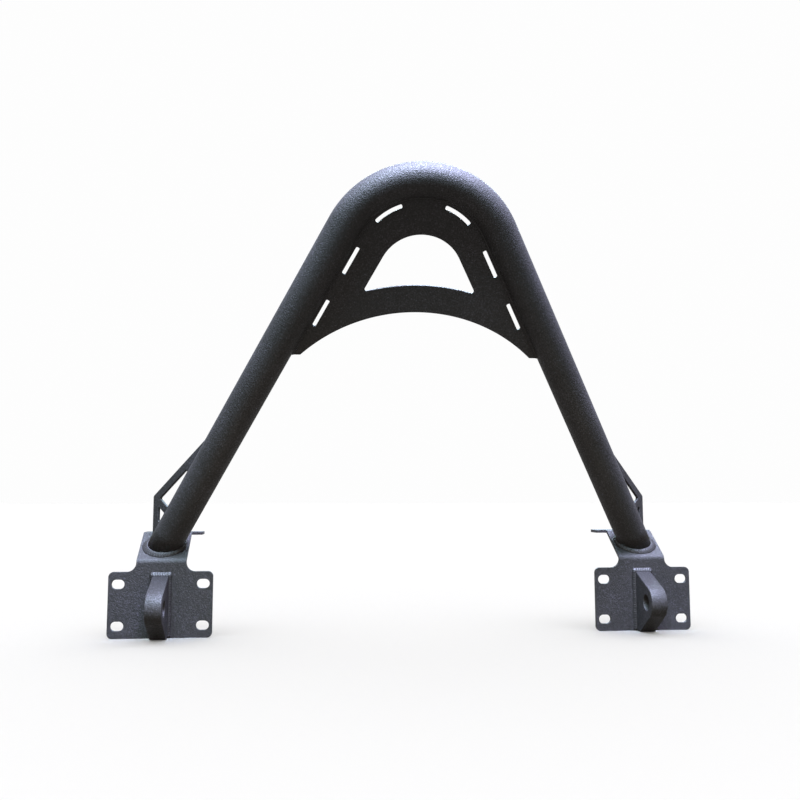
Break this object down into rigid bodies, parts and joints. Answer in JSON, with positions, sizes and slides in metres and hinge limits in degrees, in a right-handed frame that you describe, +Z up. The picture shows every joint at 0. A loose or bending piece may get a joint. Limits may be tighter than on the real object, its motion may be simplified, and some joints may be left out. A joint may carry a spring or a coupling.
{
  "type": "bumper hoop",
  "caption": "Welded tube hoop that leans forward over two slotted bolt-on brackets, with a cut-out web plate under the crown and a shackle tab on each bracket.",
  "frame": {"origin": "on the mounting face (the rear of the two bolt faces), midway between the centres of the two bolt patterns", "axes": "+X across the vehicle, +Y to the vehicle's rear and out of the mounting face, +Z up"},
  "size_m": [0.936, 0.3474, 0.6924],
  "materials": {
    "tube_coat": "fine textured black powder coat on round tube",
    "plate_coat": "fine textured black powder coat on cut plate",
    "weld_coat": "the same powder coat over weld beads"
  },
  "bodies": {
    "root": {"hoop_tube": "tube_coat", "web_plate": "plate_coat", "left_bracket": "plate_coat", "right_bracket": "plate_coat", "left_shackle_tab": "plate_coat", "right_shackle_tab": "plate_coat", "left_gusset": "plate_coat", "right_gusset": "plate_coat", "left_foot_weld": "weld_coat", "right_foot_weld": "weld_coat", "left_tab_weld": "weld_coat", "right_tab_weld": "weld_coat", "left_gusset_weld_front": "weld_coat", "left_gusset_weld_rear": "weld_coat", "right_gusset_weld_front": "weld_coat", "right_gusset_weld_rear": "weld_coat", "web_weld_front_left": "weld_coat", "web_weld_front_crown": "weld_coat", "web_weld_front_right": "weld_coat", "web_weld_rear_left": "weld_coat", "web_weld_rear_crown": "weld_coat", "web_weld_rear_right": "weld_coat"}
  },
  "joints": []
}
